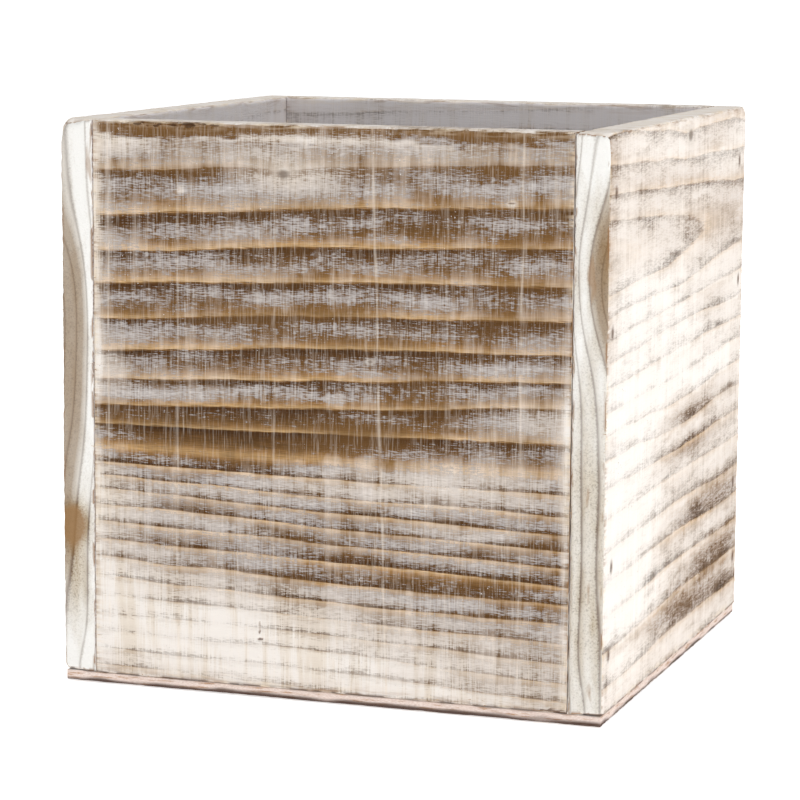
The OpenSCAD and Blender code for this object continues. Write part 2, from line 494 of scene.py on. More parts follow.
# %% Grain and whitewash of the back board and the panel
GRAIN["back_board"] = dict(
    heart=42, first=6, spread=3, tilt=0.035, taper=0, above=(5.2, 0.1), below=(5.6, 0.12),
    level=0.5, knots=[(22, 96, 2.2), (-44, 24, 1.4)],
    patches=[
        (-20, 40, 50, 5, -0.35, -0.03),
        (30, 66, 40, 7, -0.25, 0.04),
        (-40, 100, 36, 9, 0.3, 0),
        (10, 132, 70, 14, 0.4, 0),
        (0, 0, 200, 10, 0.2, 0),
    ],
)
GRAIN["bottom_panel"] = dict(
    heart=60, first=10, spread=9, tilt=0.02, taper=0, above=(6, 0.2), below=(6, 0.2),
    level=0.12, knots=[], patches=[(-40, 30, 40, 9, 0.12, 0), (30, 110, 50, 12, 0.1, 0)],
)
print("grain described for", ", ".join(GRAIN))

# %% [markdown]
# ## Relief
# Weathering leaves the hard ring lines standing and wears the soft wood between them away. The
# saw leaves shallow upright ribs. A bump in the material could fake both, but here they are real
# shape, a tenth of a millimetre deep, so that they catch low light and last in the mesh. Only
# marks finer than the grid are left to the material.

# %% Relief of a face
def ridge(ring):
    """Height of the wood over one ring, 0 in the soft wood and 1 on the hard line."""
    outward = ring - np.floor(ring)
    return np.exp(-outward * 9) + np.exp(-(1 - outward) * 30)


def relief(along, up, ring, seed):
    """How far the shown face stands out at each point, in mm, always a little below flush."""
    ribs = flat_lumps(along, up, (1.3, 60), seed) + 0.6 * flat_lumps(along, up, (3.4, 90), seed + 1)
    waves = flat_lumps(along, up, (26, 34), seed + 2)
    fibres = flat_lumps(along, up, (5, 0.7), seed + 3)
    return -0.16 + 0.09 * ridge(ring) + 0.028 * ribs + 0.06 * waves + 0.018 * fibres


print("ridge on a line and between lines:", np.round(ridge(np.array([0.0, 0.5])), 2))

# %% [markdown]
# ## Rings on an end
# The ends of the side boards show the rings as arcs round the tree's heart. `end_rings` counts
# them from a centre that usually lies outside the board. Past the heart the arcs straighten into
# lines that run down the board's end. The ends have patches of paint of their own too.

# %% Rings on an end
END_GRAIN = {
    # heart's place: depth from the shown face and drop; then squash and the width of a ring
    "right_side_board": dict(heart=(-10.5, 34), squash=0.55, width=3.1),
    "left_side_board": dict(heart=(-9, 62), squash=0.35, width=3.4),
    "front_board": dict(heart=(12, 89), squash=0.6, width=3.2),
    "back_board": dict(heart=(12, 42), squash=0.6, width=3.2),
    "bottom_panel": dict(heart=(9, 60), squash=0.2, width=1.1),
}


def end_rings(depth, drop, heart, squash, width):
    """Rings counted outward from the heart, at points on a board's end."""
    straight = 14  # the arcs are straight lines by about this far past the heart, in mm
    along_end = straight * np.tanh(squash * (drop - heart[1]) / straight)
    reach = np.hypot(depth - heart[0], along_end)
    return reach / width + 0.35 * flat_lumps(depth, drop, (6, 22), 41)


print("rings across the right end at its heart:", np.round(
    end_rings(np.array([0.0, 9.5]), np.array([34.0, 34.0]), **END_GRAIN["right_side_board"]), 1))


# %% Paint on the ends
END_WASH = {
    # patches: depth from the shown face, drop, their half-sizes, and how much paint they add
    "right_side_board": dict(level=0.74, patches=[
        (1, 31, 4, 13, -0.6), (5, 112, 9, 34, -0.4), (2, 8, 9, 8, 0.3),
    ]),
    "left_side_board": dict(level=0.98, patches=[
        (3, 109, 4.5, 6, -1.7), (4, 124, 4, 13, -0.8), (3, 60, 5, 26, -0.28),
    ]),
    "front_board": dict(level=0.6, patches=[]),
    "back_board": dict(level=0.6, patches=[]),
    "bottom_panel": dict(level=0.5, patches=[]),
}


def end_wash(depth, drop, level, patches):
    """How much paint is left at points on a board's end."""
    total = np.full(len(depth), float(level))
    for middle, low, across, height, amount in patches:
        total += amount * bell(np.hypot((depth - middle) / across, (drop - low) / height))
    return total


print("the left end's brown patch falls to", np.round(
    end_wash(np.array([3.0]), np.array([109.0]), **END_WASH["left_side_board"]), 2))

# %% [markdown]
# ## Nail and staple holes
# The brads and staples are pieces of the CAD model. The CAD boards have holes for them, and the
# new boards need the same ones. Each hole is found from its fastener's own box: one that points
# into a board's face and ends just below it has left its mark there.

# %% Holes in a face
SUNK = 2  # a fastener's head lies less than this below the face, in mm


def holes_in(board):
    """Holes in a board's shown face (along, up, half along, half up, depth), from the CAD's own
    brads or staples that open on it."""
    low, high = corners_mm(board)
    turn = BOARDS[board]
    middle = (low + high) / 2
    kind = "staple_" if board == "bottom_panel" else "brad_"
    face = np.dot(middle, turn["out"]) + np.dot((high - low) / 2, np.abs(turn["out"]))
    found = []
    for name in nodes:
        if not name.startswith(kind):
            continue
        a, b = corners_mm(name)
        if np.dot(b - a, np.abs(turn["out"])) < max(b - a) - 0.01:
            continue  # driven across this board, not into its face
        centre = (a + b) / 2
        top = np.dot(centre, turn["out"]) + np.dot((b - a) / 2, np.abs(turn["out"]))
        if not 0 < face - top < SUNK:
            continue
        # the head or crown fills the fastener's whole width, so its box is the hole's outline
        half = [np.dot((b - a) / 2, np.abs(turn[way])) for way in ("along", "up")]
        spot = [np.dot(centre - middle, turn[way]) for way in ("along", "up")]
        found.append((*spot, half[0] + 0.06, half[1] + 0.06, face - top + 0.15))
    return found


for board in BOARDS:
    print(board, "has", len(holes_in(board)), "holes in its face")

# %% [markdown]
# ## Wear and painted shade
# Two more fields follow from the board's shape alone. Edges lose their paint, so the material has to know how
# near the closest arris is. Painted shade darkens the joint where the walls stand on the panel, and a painted
# shadow darkens the panel's lower rim.

# %% Edges and painted shade
def edge_distance(points, size):
    """Distance from the nearest arris of the square board, in mm."""
    half = np.array(size) / 2
    inset = half - np.abs(points + (0, 0, half[2]))
    return np.sort(inset, axis=1)[:, 1]


def dirt(points, size, board):
    """Painted shade in the joint at the walls' foot, and a painted shadow along the panel's lower rim."""
    # on the panel: a painted shadow along the lower rim of its edge, where it stands on the floor
    if board == "bottom_panel":
        inset = np.min(np.array(size[:2]) / 2 - np.abs(points[:, :2]), axis=1)
        reach = 1.5 + 1.2 * lumps(points / (5, 5, 2), 53)
        low = smooth_step(-1.5, -0.5, points[:, 2] + 0.7 * lumps(points / (6, 6, 2), 52))
        return low * (inset < reach)
    # on a wall: painted shade in the joint at its foot, broken into pieces
    broken = smooth_step(-0.25, 0.1, lumps(points / (2.2, 1, 2), 51))
    return bell((points[:, 1] + size[1] / 2) / 0.5) * broken


face_middle = edge_distance(np.zeros((1, 3)), (20, 20, 20))[0]
print("the middle of a 20 mm cube's face is", face_middle, "mm from an arris")

# %% [markdown]
# ## Shaping a board
# The order matters. The fields are worked out while the board is still square, because that is
# where along, up and out are plain numbers. Then the edges are rounded, the face gets its
# relief, the holes are sunk, and the bites are taken last.

# %% Shape
def lift_of(board, points, ring, radius, size, holes, seed):
    """How far each point moves outward after the rounding, in mm."""
    along, up, out = points.T
    shown = smooth_step(-0.3, 0.0, out)
    rough_side = 0.06 if board == "bottom_panel" else 0.03
    sawn = -0.01 - rough_side + rough_side * lumps(points / (2.4, 2.4, 1.1), seed + 5)
    lift = relief(along, up, ring, seed) * shown + (1 - shown) * sawn
    # small losses along the sharp edges that the box turns outward
    arris = np.exp(-edge_distance(points, size) / 0.7) * np.clip(radius - 0.3, 0, 1)
    lift -= 0.5 * arris * np.clip(lumps(points / (1.5, 1.5, 1.2), seed + 11), 0, 1)
    for middle, height, half_u, half_v, depth in holes:
        inside = (np.abs(along - middle) < half_u) & (np.abs(up - height) < half_v) & (out > -0.01)
        lift[inside] = -depth
    return lift


# %% Colour fields
def colour_fields(board, points, size, holes, seed):
    """The fields that a board's finish reads, worked out on the square board."""
    along, up, out = points.T
    drop = size[1] / 2 - up
    grain = GRAIN[board]
    ring, knot = knotted(ring_number(along, drop, grain, seed), along, drop, grain["knots"])
    wash = patchwork(along, drop, grain["level"], grain["patches"])
    # each ring took the paint a little differently
    each_ring = np.stack([along / 38, np.floor(ring) * 5.3, np.zeros(len(ring))], axis=1)
    wash += 0.1 * lumps(each_ring, seed + 8)
    wash = np.where(out < -0.5, np.maximum(wash, 0.45), wash)  # the rims and ends drank more
    hole = np.zeros(len(points))
    for middle, height, half_u, half_v, _ in holes:
        distance = np.hypot((along - middle) / (half_u + 0.5), (up - height) / (half_v + 0.6))
        hole = np.maximum(hole, bell(distance * 0.9) * (out > -1))
    shown = smooth_step(-0.3, 0.0, out)
    from_edge = edge_distance(points, size)
    loose = smooth_step(0.25, 0.8, lumps(points / (9, 4, 3), seed + 10))
    return dict(
        ring=ring, wash=wash, knot=knot, hole=hole,
        end_ring=end_rings(-out, drop, **END_GRAIN[board]),
        end_wash=end_wash(-out, drop, **END_WASH[board]),
        edge=np.exp(-from_edge / 1.1),
        faded=patchwork(along, drop, 0, grain.get("faded", [])),
        # painted shade at the walls' foot and painted shadow along the panel's lower rim
        dirt=dirt(points, size, board),
        frayed=np.exp(-from_edge / 0.4) * shown * (lumps(points / (7, 7, 3), seed + 9) > 0.15),
        crumbly=shown * np.clip(wash, 0, 1) * loose,
    )


# %% Build a board
def board_mesh(board, step, radii, bites=(), corners=(), inset=0.0, seed=1):
    """The worn board as an object, with its fields as attributes. inset draws its edges in, in mm."""
    low, high = corners_mm(board)
    turn = BOARDS[board]
    size = tuple(float(np.dot(high - low, np.abs(turn[way]))) for way in ("along", "up", "out"))
    holes = holes_in(board)
    points, faces, parts = folded_grid(size, step, 2.0, holes)
    fields = colour_fields(board, points, size, holes, seed)

    radius = edge_radius(points, size, radii, corners, seed)
    worn, normals = rounded(points, size, radius)
    worn = worn + normals * lift_of(board, points, fields["ring"], radius, size, holes, seed)[:, None]
    worn[:, :2] *= 1 - 2 * inset / np.array(size[:2])
    unbroken = worn.copy()
    worn = bitten(worn, bites, seed + 7)
    fields["chip"] = np.linalg.norm(worn - unbroken, axis=1)

    middle = (low + high) / 2 + turn["out"] * size[2] / 2
    places = (middle + worn @ np.stack([turn["along"], turn["up"], turn["out"]])) * MM
    mesh = bpy.data.meshes.new(board + "_worn")
    mesh.from_pydata(places.tolist(), [], faces)
    mesh.polygons.foreach_set("use_smooth", [True] * len(faces))
    mesh.polygons.foreach_set("material_index", parts)
    for name, values in fields.items():
        mesh.attributes.new(name, "FLOAT", "POINT").data.foreach_set("value", values.astype(np.float32))
    # the square board's own place, moved apart for each board so that no two share a noise
    spot = mesh.attributes.new("grain", "FLOAT_VECTOR", "POINT")
    spot.data.foreach_set("vector", (points + (0, 0, seed * 37.0)).astype(np.float32).ravel())
    mesh.update()
    made = bpy.data.objects.new(board + "_worn", mesh)
    bpy.context.scene.collection.objects.link(made)
    print(board, "size", [round(s, 1) for s in size], "faces", len(faces))
    return made

# %% [markdown]
# ## Building a finish
# A finish is a tree of shader nodes. Writing one out is long, so this small class adds a node
# and hands back its output in one call. Drawing the tree by hand in the editor gives the same
# result, but a script can be read, repeated and changed in one place.

# %% Colours and nodes
def tint(red, green, blue):
    """A colour given as the 0 to 255 that a paint chart shows, made linear for Blender."""
    linear = [((c / 255 + 0.055) / 1.055) ** 2.4 if c > 10 else c / 255 / 12.92 for c in (red, green, blue)]
    return (*linear, 1.0)


def add_node(tree, kind, inputs, **settings):
    """A new node, with its settings made and each input linked or given its value."""
    made = tree.nodes.new(kind)
    for key, value in settings.items():
        setattr(made, key, value)
    for key, value in inputs.items():
        socket = made.inputs[key]
        if isinstance(value, bpy.types.NodeSocket):
            tree.links.new(value, socket)
        else:
            socket.default_value = value
    return made


print("white paint is", [round(c, 2) for c in tint(240, 238, 236)])


# %% A short hand for shader nodes
class Finish:
    """A material in the making. Each method adds one node and returns its output."""

    def __init__(self, name):
        self.material = bpy.data.materials.new(name)
        self.material.use_nodes = True
        self.tree = self.material.node_tree
        self.tree.nodes.clear()

    def node(self, kind, inputs, **settings):
        return add_node(self.tree, kind, inputs, **settings)

    def field(self, name):
        """One of the board's own numbers."""
        return self.node("ShaderNodeAttribute", {}, attribute_name=name).outputs["Fac"]

    def place(self, name="grain"):
        """The board's own directions, in mm."""
        return self.node("ShaderNodeAttribute", {}, attribute_name=name).outputs["Vector"]

    def object_place(self):
        return self.node("ShaderNodeTexCoord", {}).outputs["Object"]

    def sum(self, operation, a, b=0.0, c=0.0, clamp=False):
        inputs = {0: a, 1: b} if operation != "MULTIPLY_ADD" else {0: a, 1: b, 2: c}
        if operation in ("FRACT", "ABSOLUTE"):
            inputs = {0: a}
        return self.node("ShaderNodeMath", inputs, operation=operation, use_clamp=clamp).outputs[0]

    def spread(self, value, low, high, to_low=0.0, to_high=1.0, smooth=False):
        """value from low to high, stretched to to_low to to_high and held there."""
        kind = "SMOOTHSTEP" if smooth else "LINEAR"
        inputs = {"Value": value, "From Min": low, "From Max": high, "To Min": to_low, "To Max": to_high}
        return self.node("ShaderNodeMapRange", inputs, interpolation_type=kind, clamp=True).outputs[0]

    def noise(self, place, sizes, detail=2.0, rough=0.5):
        """Noise whose lumps measure sizes, in the units of place."""
        scale = tuple(1 / s for s in sizes)
        moved = self.node("ShaderNodeMapping", {"Vector": place, "Scale": scale}).outputs[0]
        inputs = {"Vector": moved, "Scale": 1.0, "Detail": detail, "Roughness": rough, "Distortion": 0.0}
        return self.node("ShaderNodeTexNoise", inputs, noise_dimensions="3D").outputs["Fac"]

    def ramp(self, value, stops):
        """Colours or greys at places along value, blended in between."""
        made = self.node("ShaderNodeValToRGB", {"Fac": value})
        elements = made.color_ramp.elements
        while len(elements) < len(stops):
            elements.new(0.5)
        for element, (position, colour) in zip(elements, stops):
            element.position = position
            element.color = colour if isinstance(colour, tuple) else (colour, colour, colour, 1)
        return made.outputs["Color"]

    def blend(self, share, a, b):
        """Colour a changed toward b by share."""
        inputs = {0: share, 6: a, 7: b}
        return self.node("ShaderNodeMix", inputs, data_type="RGBA", blend_type="MIX").outputs[2]

    def done(self, colour, roughness, height, depth=0.0001, metallic=0.0):
        """Ends the finish in one Principled shader, with height as a bump depth metres deep."""
        bump = self.node("ShaderNodeBump", {"Height": height, "Distance": depth, "Strength": 1.0})
        shader = self.node("ShaderNodeBsdfPrincipled", {
            "Base Color": colour, "Roughness": roughness, "Metallic": metallic,
            "Specular IOR Level": 0.12, "Normal": bump.outputs[0],
        })
        output = self.node("ShaderNodeOutputMaterial", {"Surface": shader.outputs[0]})
        output.is_active_output = True
        return self.material


print("a finish can use:", [name for name in vars(Finish) if not name.startswith("_")])

# %% [markdown]
# ## Whitewash over brown
# The real finish is made in steps: the sawn board is stained brown, thin white paint is dragged
# over it, and the surface is rubbed back. Paint stays in the pores of the soft wood and in the
# saw's upright scratches, and comes off the hard ring lines. The material is laid on in the same
# order. First come the streaks that several of its coats share. Each is one noise, stretched to
# the length, width and depth in mm that such a streak has on the wood.

# %% Streaks
# how long (along the board), high and deep each streak is, in mm
FIBRE, SPECK, SAW = (5, 0.24, 3), (2.6, 0.36, 3), (0.42, 9, 3)
NARROW_STROKE, WIDE_STROKE, CLOUD = (2.4, 40, 9), (8, 36, 9), (19, 4.2, 12)


def streaks(coat):
    """The noises that the coats share."""
    place = coat.place()
    narrow = coat.noise(place, NARROW_STROKE, detail=2)
    wide = coat.noise(place, WIDE_STROKE, detail=2)
    return SimpleNamespace(
        place=place,
        fibre=coat.noise(place, FIBRE, detail=3, rough=0.6),
        speck=coat.noise(place, SPECK, detail=5, rough=0.7),
        saw=coat.noise(place, SAW, detail=3, rough=0.6),
        stroke=coat.sum("MULTIPLY", coat.sum("ADD", narrow, wide), 0.5),
        cloud=coat.noise(place, CLOUD, detail=3, rough=0.55),
    )


print("a fibre is", round(FIBRE[0] / FIBRE[1]), "times as long as it is high")
print("a saw scratch is", round(SAW[1] / SAW[0]), "times as high as it is long")

# %% [markdown]
# ## The stained wood
# The fraction of the ring count runs from 0 at one hard line to 1 at the next. A colour ramp
# over it paints a whole year at once: the gold line, the tan early wood and the dark late wood.
# The streaks then make it lighter and darker, and `faded` hides the rings where stain pooled.

# %% Stained wood
WORN_BROWN = tint(106, 75, 40)  # where the rings hardly show


def stained_wood(coat, streak, wash, outward):
    """Brown wood: each ring goes from a gold line, through tan, to dark brown."""
    wood = coat.ramp(outward, [
        (0.0, tint(188, 155, 112)), (0.06, tint(176, 140, 94)), (0.16, tint(148, 111, 69)),
        (0.34, tint(120, 86, 48)), (0.6, tint(100, 68, 34)), (0.8, tint(82, 53, 24)),
        (0.905, tint(72, 45, 19)), (0.95, tint(98, 67, 35)), (0.98, tint(156, 120, 78)),
        (1.0, tint(188, 155, 112)),
    ])
    fibre_tone = coat.spread(streak.fibre, 0.3, 0.7, 0.6, 1.36)
    saw_tone = coat.spread(streak.saw, 0.3, 0.7, 0.84, 1.1)
    tone = coat.sum("MULTIPLY", fibre_tone, saw_tone)
    tone = coat.sum("MULTIPLY", tone, coat.spread(streak.cloud, 0.3, 0.7, 0.8, 1.22))
    tone = coat.sum("MULTIPLY", tone, coat.spread(wash, -0.25, 0.3, 0.72, 1.0))
    wood = coat.node("ShaderNodeVectorMath", {0: wood, "Scale": tone}, operation="SCALE").outputs[0]
    faded = coat.spread(coat.noise(streak.place, (44, 10, 9), detail=2), 0.42, 0.66, 0, 0.6)
    faded = coat.sum("MAXIMUM", faded, coat.field("faded"), clamp=True)
    return coat.blend(faded, wood, WORN_BROWN)


print("faded wood is", [round(c, 2) for c in WORN_BROWN[:3]])

# %% [markdown]
# ## Haze and flecks
# Two kinds of paint are left. A haze lies over everything the brush passed, most of it on the
# soft wood just outside a line. Flecks sit in the pores, with sharp edges. Both are sums of the
# board's wash field and the streaks, cut off at a level: haze with a slow cut, flecks with a
# quick one.

# %% Haze
HAZE_CUT = (1.03, 1.85)  # the sums at which haze begins and is thickest


def haze_share(coat, streak, wash, outward, bands):
    """How much of the colour is haze. bands is how strongly it follows the brush strokes."""
    soft = coat.ramp(outward, [
        (0.0, 0.75), (0.1, 0.95), (0.3, 0.8), (0.6, 0.5), (0.85, 0.1), (0.96, 0.15), (1.0, 0.75),
    ])
    haze = coat.sum("MULTIPLY_ADD", soft, 0.42, wash)
    haze = coat.sum("MULTIPLY_ADD", streak.cloud, 0.6, haze)
    haze = coat.sum("MULTIPLY_ADD", coat.sum("SUBTRACT", streak.stroke, 0.5), bands, haze)
    haze = coat.sum("MULTIPLY_ADD", streak.saw, 0.3, haze)
    return coat.spread(haze, *HAZE_CUT, 0.0, 0.9)


def haze_colour(coat, streak, thick, cream, pale, thin):
    """Cream where paint is thin, pale where it is thick, and browner where the brush dragged
    it off, by up to thin."""
    paint = coat.blend(thick, tint(*cream), tint(*pale))
    dragged = coat.spread(coat.sum("MULTIPLY_ADD", streak.saw, 0.35, streak.stroke), 0.59, 0.73, thin, 0)
    return coat.blend(dragged, paint, tint(210, 192, 166))


print("haze thickens over", round(HAZE_CUT[1] - HAZE_CUT[0], 2))


# %% Flecks
FLECK_CUT = (1.22, 1.33)  # the sums at which a fleck begins and is whole


def fleck_hold(coat, streak, wash, outward):
    """How firmly paint is held in the pores: flecks are where this is high."""
    pores = coat.ramp(outward, [
        (0.0, 0.0), (0.1, 0.2), (0.28, 0.75), (0.5, 1.0), (0.75, 0.75), (0.93, 0.2), (1.0, 0.0),
    ])
    hold = coat.sum("MULTIPLY_ADD", pores, 0.2, streak.speck)
    hold = coat.sum("MULTIPLY_ADD", streak.saw, 0.46, hold)
    hold = coat.sum("MULTIPLY_ADD", streak.cloud, 0.6, hold)
    return coat.sum("MULTIPLY_ADD", wash, 0.2, hold)


def fleck_colour(coat, hold, thick, paint, dull):
    """Grey lilac where a fleck is thin, lighter where it is thick, and paint on a white board."""
    fleck = coat.blend(coat.spread(hold, 1.25, 1.6), tint(*dull), tint(208, 204, 203))
    return coat.blend(thick, fleck, paint)


print("flecks thicken over", round(FLECK_CUT[1] - FLECK_CUT[0], 2))

# %% [markdown]
# ## Scratches, wear and painted shade
# Paint filled the scratches that the saw left, and a few long strokes of the brush run right down the face. A
# stroke is the distance from a slightly wavering line. Last come the marks of use and the painted shade: the
# knot's grey eye with its halo, rubbed edges, broken wood with painted shade in the deeper chips, dark brown
# round the nails, and painted shade in the joints.

# %% Filled scratches
WAVER = 1.6  # how far a stroke strays sideways, in mm


def filled_scratches(coat, streak, strokes):
    """How much white lies in the scratches. strokes are upright lines (place along the board,
    lean, half-width, strength)."""
    place = streak.place
    scratch = coat.spread(coat.noise(place, (0.45, 8, 2), detail=3, rough=0.6), 0.5, 0.76, 0, 0.26)
    across, upward, _ = coat.node("ShaderNodeSeparateXYZ", {0: place}).outputs
    waver = coat.sum("MULTIPLY_ADD", coat.noise(place, (3, 26, 3), detail=2), WAVER, across)
    broken_up = coat.spread(coat.noise(place, (3, 9, 3), detail=3), 0.36, 0.56)
    for spot, lean, half, strength in strokes:
        # half the waver is its mean, and the line has to run where it is said to
        offset = coat.sum("SUBTRACT", waver, coat.sum("MULTIPLY_ADD", upward, lean, spot + WAVER / 2))
        line = coat.spread(coat.sum("ABSOLUTE", offset), 0, half, strength, 0, smooth=True)
        scratch = coat.sum("MAXIMUM", scratch, coat.sum("MULTIPLY", line, broken_up))
    return scratch


print("a stroke strays", WAVER / 2, "mm to each side")


# %% Wear and painted shade
# the second colour is painted shade for the joint at the walls' foot
NAIL_BROWN, JOINT_SHADE = tint(96, 66, 44), tint(74, 48, 34)


def wear_and_painted_shade(coat, streak, colour):
    """The colour with its knots, rubbed edges, broken wood with painted shade in the deeper chips, and painted
    shade at the foot.
    """
    place = streak.place
    knot = coat.field("knot")
    colour = coat.blend(coat.spread(knot, 0.1, 0.5, 0, 0.45), colour, tint(208, 198, 188))
    colour = coat.blend(coat.spread(knot, 0.62, 0.9, 0, 0.75), colour, tint(114, 100, 88))
    rubbed = coat.spread(coat.noise(place, (7, 1.0, 3), detail=4), 0.44, 0.6, 0, 0.75)
    two_kinds = coat.spread(coat.noise(place, (12, 9, 5), detail=2), 0.44, 0.56)
    rim = coat.blend(two_kinds, tint(150, 112, 72), tint(226, 208, 182))
    colour = coat.blend(coat.sum("MULTIPLY", coat.field("edge"), rubbed), colour, rim)
    colour = coat.blend(coat.spread(coat.field("hole"), 0.1, 0.8, 0, 0.8), colour, NAIL_BROWN)
    chip = coat.field("chip")
    # bare wood in the chips, painted darker where a chip is deeper, as shade in its hollow
    inside = coat.blend(coat.spread(chip, 0.15, 0.5), tint(140, 102, 64), tint(72, 47, 28))
    colour = coat.blend(coat.spread(chip, 0.08, 0.4, 0, 0.75), colour, inside)
    # painted shade in the joint at the walls' foot, and painted shadow along the panel's rim
    return coat.blend(coat.sum("MULTIPLY", coat.field("dirt"), 0.8, clamp=True), colour, JOINT_SHADE)


# the painted shade's colour against the dark brown round the nails
print("dirt is", round(JOINT_SHADE[0] / NAIL_BROWN[0], 2), "times as bright as rust-stained wood")

# %% [markdown]
# ## One finish for every sawn face
# The coats are now laid over each other in the order that they came to be: wood, haze, flecks, filled
# scratches, then wear with painted shade. Every sawn face uses this one recipe. A different material for each
# board would be easier to start with, but a change to the paint would have to be made five times.

# %% Long grain
def long_grain(name, level=0.0, strokes=(), crisp=FLECK_CUT, cream=(230, 214, 198),
               pale=(232, 226, 220), dull=(142, 134, 130), thin=0.42, bands=1.5):
    """The finish of a sawn face. level adds haze all over. crisp is where flecks begin and end:
    the closer together the two numbers are, the sharper their edges."""
    coat = Finish(name)
    streak = streaks(coat)
    wash = coat.sum("ADD", coat.field("wash"), level)
    thick = coat.spread(wash, 0.55, 1.0)
    outward = coat.sum("FRACT", coat.sum("MULTIPLY_ADD", streak.fibre, 0.13, coat.field("ring")))

    haze = haze_share(coat, streak, wash, outward, bands)
    paint = haze_colour(coat, streak, thick, cream, pale, thin)
    colour = coat.blend(haze, stained_wood(coat, streak, wash, outward), paint)
    hold = fleck_hold(coat, streak, wash, outward)
    cover = coat.spread(hold, *crisp, 0, 0.82, smooth=True)
    colour = coat.blend(cover, colour, fleck_colour(coat, hold, thick, paint, dull))
    colour = coat.blend(filled_scratches(coat, streak, strokes), colour, tint(238, 226, 212))
    colour = wear_and_painted_shade(coat, streak, colour)

    height = coat.sum("MULTIPLY_ADD", streak.saw, 0.5, coat.sum("MULTIPLY", streak.fibre, 0.7))
    height = coat.sum("MULTIPLY_ADD", cover, 0.3, height)
    return coat.done(colour, coat.spread(haze, 0, 1, 0.75, 0.62), height, depth=0.00012)


# %% [markdown]
# ## The panel's edge
# The base is a thin sheet of ply. Its cut edge drank the wash and looks pink and patchy, and its lower corner
# is darkened by a painted shadow where it stands on the floor. Two noises are enough: one for the patches of
# paint, and a fine one for the ends of the fibres.

# %% Ply edge
def ply_edge(name):
    """The finish of the panel's cut edge, with a painted shadow along its lower corner."""
    coat = Finish(name)
    place = coat.place()
    patch = coat.noise(place, (7, 7, 0.7), detail=4, rough=0.6)
    fine = coat.noise(place, (0.8, 0.8, 0.25), detail=3, rough=0.6)
    fibre_end = coat.spread(fine, 0.35, 0.65)
    wood = coat.blend(fibre_end, tint(150, 104, 70), tint(190, 150, 112))
    paint = coat.blend(fibre_end, tint(216, 194, 184), tint(240, 228, 220))
    bare = coat.spread(coat.sum("MULTIPLY_ADD", fine, 0.4, patch), 0.74, 0.84, 0.95, 0.15)
    colour = coat.blend(bare, wood, paint)
    # painted shadow along the lower corner, where the panel meets the floor
    colour = coat.blend(coat.sum("MULTIPLY", coat.field("dirt"), 0.92, clamp=True), colour, tint(58, 34, 24))
    return coat.done(colour, 0.8, fine, depth=0.00015)


# %% [markdown]
# ## Painted ends
# End grain drinks more paint than the faces do, so the ends of the side boards are nearly
# white. Their rings show as grey arcs through the paint, and as brown wood at the core and
# where the paint was rubbed off or has flaked.

# %% End grain
def end_grain(name):
    """The finish of a board's end."""
    coat = Finish(name)
    place = coat.place()
    pores = coat.noise(place, (3, 0.5, 0.5), detail=4, rough=0.7)
    cloud = coat.noise(place, (9, 12, 3.2), detail=3)
    blot = coat.noise(place, (9, 22, 5), detail=3)
    rings = coat.field("end_ring")
    wash = coat.field("end_wash")

    # the wood: dark lines, and a brown core inside the first few rings
    outward = coat.sum("FRACT", coat.sum("MULTIPLY_ADD", pores, 0.16, rings))
    wood = coat.ramp(outward, [
        (0.0, tint(112, 90, 66)), (0.1, tint(186, 172, 150)), (0.5, tint(206, 196, 180)),
        (0.82, tint(178, 162, 138)), (0.96, tint(104, 80, 56)),
    ])
    core = coat.spread(rings, 4.4, 5.1, 0.85, 0)
    core_share = coat.sum("MULTIPLY", core, coat.spread(outward, 0.9, 0.98, 1, 0.3))
    wood = coat.blend(core_share, wood, tint(138, 112, 80))
    wood = coat.blend(coat.spread(pores, 0.34, 0.5, 0.5, 0), wood, tint(96, 78, 62))

    # the paint: thinner on the core and on each hard line
    line = coat.ramp(outward, [(0.0, 0.8), (0.1, 0.0), (0.84, 0.0), (0.95, 1.0), (1.0, 0.8)])
    hold = coat.sum("MULTIPLY_ADD", cloud, 0.9, coat.sum("MULTIPLY_ADD", pores, 0.4, wash))
    cover = coat.spread(hold, 0.85, 1.6, 0.0, 0.93)
    cover = coat.sum("MULTIPLY", cover, coat.spread(core, 0, 0.85, 1, 0.22))
    cover = coat.sum("MULTIPLY", cover, coat.spread(line, 0, 1, 1, 0.62))
    colour = coat.blend(cover, wood, tint(238, 237, 234))

    # wear: stains, rubbed arrises, bare patches and nail holes, then painted shade at the foot
    colour = coat.blend(coat.spread(blot, 0.66, 0.72, 0, 0.5), colour, tint(150, 112, 72))
    broken = coat.spread(coat.noise(place, (5, 8, 2), detail=4), 0.47, 0.57)
    rubbed = coat.spread(coat.sum("MULTIPLY", coat.field("edge"), broken), 0.35, 0.75, 0, 0.85)
    colour = coat.blend(rubbed, colour, tint(140, 102, 66))
    bare = coat.sum("MULTIPLY_ADD", coat.sum("ADD", cloud, pores), 0.5, wash)
    colour = coat.blend(coat.spread(bare, 0.3, 0.75, 0.85, 0), colour, tint(146, 112, 74))
    colour = coat.blend(coat.spread(coat.field("hole"), 0.1, 0.8, 0, 0.7), colour, NAIL_BROWN)
    # painted shade in the joint at the foot of the end
    colour = coat.blend(coat.sum("MULTIPLY", coat.field("dirt"), 0.8, clamp=True), colour, JOINT_SHADE)
    return coat.done(colour, 0.8, pores, depth=0.00018)


# %% [markdown]
# ## The finishes of this box
# The front and back share one recipe and differ only in their brush strokes. The sides are
# whiter, with softer flecks. The inner faces and the rims have the same wood under more paint.
# A board has four material slots, in the order of the parts: face, end, edge and inside.

